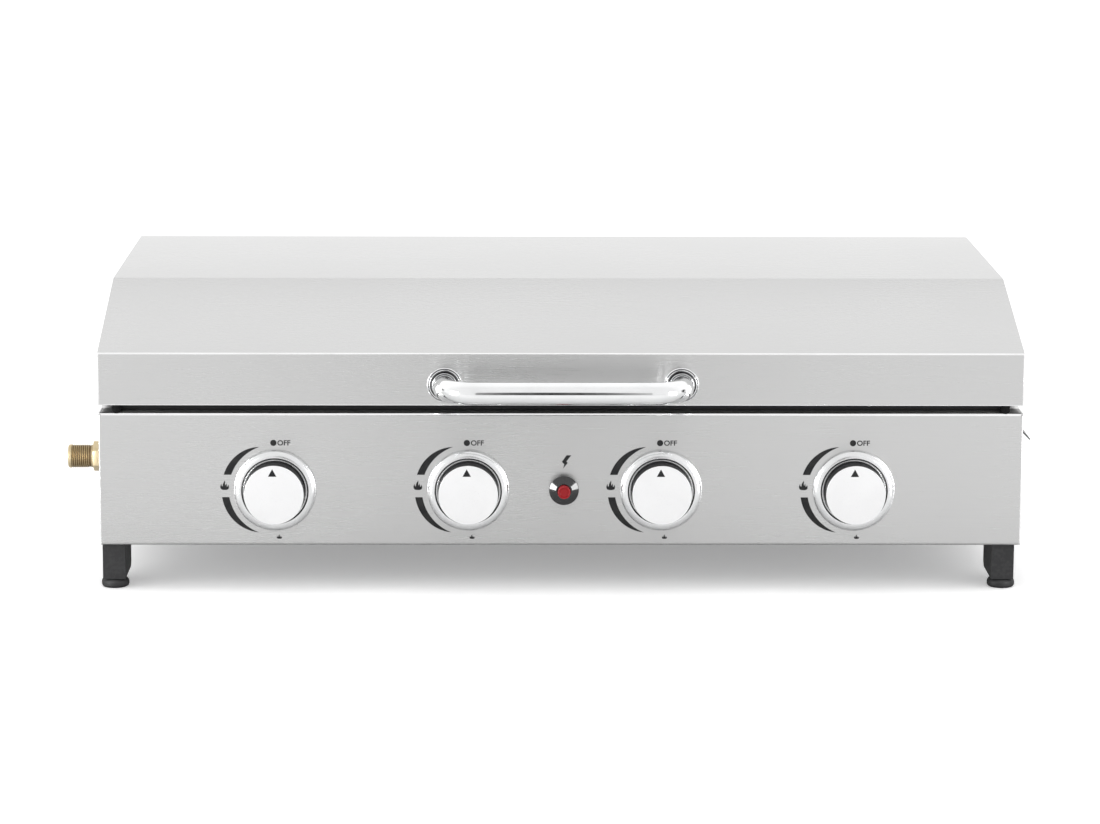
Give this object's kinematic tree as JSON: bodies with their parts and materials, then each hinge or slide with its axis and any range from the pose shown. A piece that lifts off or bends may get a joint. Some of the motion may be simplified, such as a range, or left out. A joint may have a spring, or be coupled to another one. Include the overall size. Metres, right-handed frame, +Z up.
{
  "type": "gas plancha griddle",
  "caption": "Tabletop gas griddle: folded steel body on short feet, hinged lid with a chrome handle, turning push knobs, ignition button, side grease tray and gas inlet.",
  "frame": {"origin": "on the ground under the middle of the outline box, which reaches from the gas inlet to the tray lip and from the handle to the rear panel", "axes": "+X to the right as seen from the front, +Y from the control panel to the back, +Z up"},
  "size_m": [0.758, 0.4504, 0.2269],
  "materials": {
    "stainless": "satin",
    "galvanised": "satin",
    "burner_steel": "satin",
    "tray_steel": "satin",
    "black_paint": "satin",
    "pad_rubber": "matte",
    "chrome": "polished",
    "brass": "satin",
    "knob_black": "glossy",
    "knob_satin": "satin",
    "button_red": "glossy",
    "electrode_ceramic": "glossy",
    "enamel": "satin"
  },
  "bodies": {
    "housing": {"front_panel": "stainless", "left_side_panel": "stainless", "right_side_panel": "stainless", "rear_panel": "stainless", "base_pan": "galvanised", "leg_front_left": "black_paint", "leg_front_right": "black_paint", "leg_rear_left": "black_paint", "leg_rear_right": "black_paint", "foot_pad_front_left": "pad_rubber", "foot_pad_front_right": "pad_rubber", "foot_pad_rear_left": "pad_rubber", "foot_pad_rear_right": "pad_rubber", "knob_bezel_1": "chrome", "knob_bezel_2": "chrome", "knob_bezel_3": "chrome", "knob_bezel_4": "chrome", "manifold_pipe": "galvanised", "inlet_fitting": "brass", "gas_valve_1": "brass", "gas_valve_2": "brass", "gas_valve_3": "brass", "gas_valve_4": "brass", "burner_1": "burner_steel", "burner_2": "burner_steel", "burner_3": "burner_steel", "burner_4": "burner_steel", "burner_rail": "galvanised", "igniter_bezel": "knob_black", "spark_electrode": "electrode_ceramic", "tray_carrier": "galvanised", "hinge_bracket_left": "black_paint", "hinge_bracket_right": "black_paint", "hinge_pins": "galvanised", "lid_bumpers": "pad_rubber", "leg_screws": "black_paint"},
    "lid": {"lid_shell": "stainless", "lid_end_left": "stainless", "lid_end_right": "stainless", "handle_bar": "chrome", "handle_rosette_left": "chrome", "handle_rosette_right": "chrome", "handle_screws": "galvanised", "hinge_leaf_left": "black_paint", "hinge_leaf_right": "black_paint"},
    "tap_1": {"tap_plug_1": "brass"},
    "control_knob_1": {"knob_1": "knob_black", "knob_face_1": "knob_satin"},
    "tap_2": {"tap_plug_2": "brass"},
    "control_knob_2": {"knob_2": "knob_black", "knob_face_2": "knob_satin"},
    "tap_3": {"tap_plug_3": "brass"},
    "control_knob_3": {"knob_3": "knob_black", "knob_face_3": "knob_satin"},
    "tap_4": {"tap_plug_4": "brass"},
    "control_knob_4": {"knob_4": "knob_black", "knob_face_4": "knob_satin"},
    "ignition_button": {"igniter_button": "button_red"},
    "tray": {"grease_tray": "tray_steel"},
    "plate": {"griddle_plate": "enamel"}
  },
  "joints": [
    {"name": "lid_hinge", "type": "hinge", "parent": "housing", "child": "lid", "pos_m": [0.00795, 0.21877, 0.154], "axis": [-1, 0, 0], "range_deg": [0, 100]},
    {"name": "knob_turn_1", "type": "hinge", "parent": "housing", "child": "tap_1", "pos_m": [-0.2151, -0.17483, 0.0803], "axis": [0, -1, 0], "range_deg": [0, 180]},
    {"name": "knob_push_1", "type": "slide", "parent": "tap_1", "child": "control_knob_1", "axis": [0, 1, 0], "range_m": [0, 0.003], "stiffness_N_per_m": 900},
    {"name": "knob_turn_2", "type": "hinge", "parent": "housing", "child": "tap_2", "pos_m": [-0.0646, -0.17483, 0.0803], "axis": [0, -1, 0], "range_deg": [0, 180]},
    {"name": "knob_push_2", "type": "slide", "parent": "tap_2", "child": "control_knob_2", "axis": [0, 1, 0], "range_m": [0, 0.003], "stiffness_N_per_m": 900},
    {"name": "knob_turn_3", "type": "hinge", "parent": "housing", "child": "tap_3", "pos_m": [0.0859, -0.17483, 0.0803], "axis": [0, -1, 0], "range_deg": [0, 180]},
    {"name": "knob_push_3", "type": "slide", "parent": "tap_3", "child": "control_knob_3", "axis": [0, 1, 0], "range_m": [0, 0.003], "stiffness_N_per_m": 900},
    {"name": "knob_turn_4", "type": "hinge", "parent": "housing", "child": "tap_4", "pos_m": [0.2364, -0.17483, 0.0803], "axis": [0, -1, 0], "range_deg": [0, 180]},
    {"name": "knob_push_4", "type": "slide", "parent": "tap_4", "child": "control_knob_4", "axis": [0, 1, 0], "range_m": [0, 0.003], "stiffness_N_per_m": 900},
    {"name": "ignition_press", "type": "slide", "parent": "housing", "child": "ignition_button", "axis": [0, 1, 0], "range_m": [0, 0.004], "stiffness_N_per_m": 600},
    {"name": "tray_slide", "type": "slide", "parent": "housing", "child": "tray", "axis": [1, 0, 0], "range_m": [0, 0.09]},
    {"name": "plate_lift", "type": "slide", "parent": "housing", "child": "plate", "axis": [0, 0, 1], "range_m": [0, 0.03]}
  ]
}
